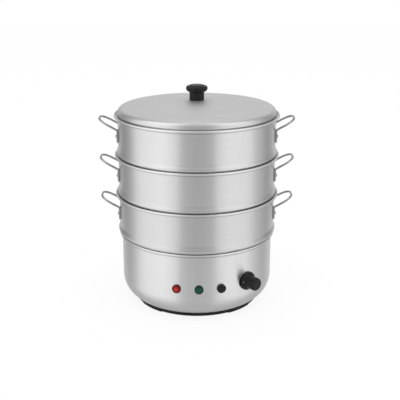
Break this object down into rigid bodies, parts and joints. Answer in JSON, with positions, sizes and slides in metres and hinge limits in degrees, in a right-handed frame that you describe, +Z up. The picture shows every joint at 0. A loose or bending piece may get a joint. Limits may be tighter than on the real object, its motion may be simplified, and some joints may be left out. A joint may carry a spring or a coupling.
{
  "type": "dumpling steamer",
  "caption": "Electric dumpling steamer: stacked spun aluminium tiers with wire loop handles on a heated base with signal lamps, reset button and regulator knob, under a domed lid.",
  "frame": {"origin": "on the ground under the middle of the stack, at the axis of the round base", "axes": "+Z up along the stack, the lamps and the knob face -Y, the handles point along X"},
  "size_m": [0.4412, 0.373, 0.4978],
  "materials": {
    "spun_aluminium": "spun satin",
    "plain_aluminium": "mill finish",
    "handle_aluminium": "polished wire",
    "cast_aluminium": "as cast",
    "element_steel": "heat tinted",
    "steel_hardware": "zinc plated",
    "copper": "drawn copper",
    "brass": "turned",
    "foot_rubber": "matt",
    "red_lens": "clear tinted",
    "green_lens": "clear tinted",
    "light_plastic": "moulded",
    "brown_lead": "insulation",
    "blue_lead": "insulation",
    "green_lead": "insulation",
    "black_plastic": "moulded satin"
  },
  "bodies": {
    "base": {"base_shell": "spun_aluminium", "water_pan": "plain_aluminium", "heat_spreader": "cast_aluminium", "heating_element": "element_steel", "bulb_clip": "cast_aluminium", "sensor_bulb": "copper", "capillary_tube": "copper", "bottom_cover": "black_plastic", "feet": "foot_rubber", "cover_screws": "steel_hardware", "regulator": "light_plastic", "regulator_nut": "steel_hardware", "red_lens": "red_lens", "red_lamp_body": "black_plastic", "green_lens": "green_lens", "green_lamp_body": "black_plastic", "lamp_nuts": "steel_hardware", "reset_housing": "black_plastic", "reset_nut": "steel_hardware", "cord_gland": "black_plastic", "gland_nut": "black_plastic", "terminal_block": "light_plastic", "earth_stud": "brass", "live_lead": "brown_lead", "switched_lead": "brown_lead", "element_lead": "brown_lead", "neutral_lead": "blue_lead", "lamp_link": "blue_lead", "green_lamp_lead": "blue_lead", "red_lamp_lead": "brown_lead", "earth_lead": "green_lead", "earth_tag": "steel_hardware"},
    "control_knob": {"control_knob": "black_plastic", "knob_shaft": "steel_hardware"},
    "reset_button": {"reset_button": "black_plastic"},
    "bottom_tier": {"bottom_tier_ring": "spun_aluminium", "bottom_tier_plate": "plain_aluminium", "bottom_tier_left_handle": "handle_aluminium", "bottom_tier_right_handle": "handle_aluminium", "bottom_tier_rivets": "handle_aluminium"},
    "middle_tier": {"middle_tier_ring": "spun_aluminium", "middle_tier_plate": "plain_aluminium", "middle_tier_left_handle": "handle_aluminium", "middle_tier_right_handle": "handle_aluminium", "middle_tier_rivets": "handle_aluminium"},
    "top_tier": {"top_tier_ring": "spun_aluminium", "top_tier_plate": "plain_aluminium", "top_tier_left_handle": "handle_aluminium", "top_tier_right_handle": "handle_aluminium", "top_tier_rivets": "handle_aluminium"},
    "lid": {"lid_shell": "spun_aluminium", "lid_knob": "black_plastic", "lid_screw": "steel_hardware", "lid_washer": "steel_hardware"}
  },
  "joints": [
    {"name": "bottom_tier_lift", "type": "slide", "parent": "base", "child": "bottom_tier", "axis": [0, 0, 1], "range_m": [0, 0.25]},
    {"name": "middle_tier_lift", "type": "slide", "parent": "bottom_tier", "child": "middle_tier", "axis": [0, 0, 1], "range_m": [0, 0.25]},
    {"name": "top_tier_lift", "type": "slide", "parent": "middle_tier", "child": "top_tier", "axis": [0, 0, 1], "range_m": [0, 0.25]},
    {"name": "lid_lift", "type": "slide", "parent": "top_tier", "child": "lid", "axis": [0, 0, 1], "range_m": [0, 0.25]},
    {"name": "control_knob_turn", "type": "hinge", "parent": "base", "child": "control_knob", "pos_m": [0.10801, -0.13578, 0.0835], "axis": [-0.6225, 0.7826, 0], "range_deg": [0, 270]},
    {"name": "reset_button_press", "type": "slide", "parent": "base", "child": "reset_button", "axis": [-0.2823, 0.9593, 0], "range_m": [0, 0.003], "stiffness_N_per_m": 400, "springref_m": -0.002}
  ]
}
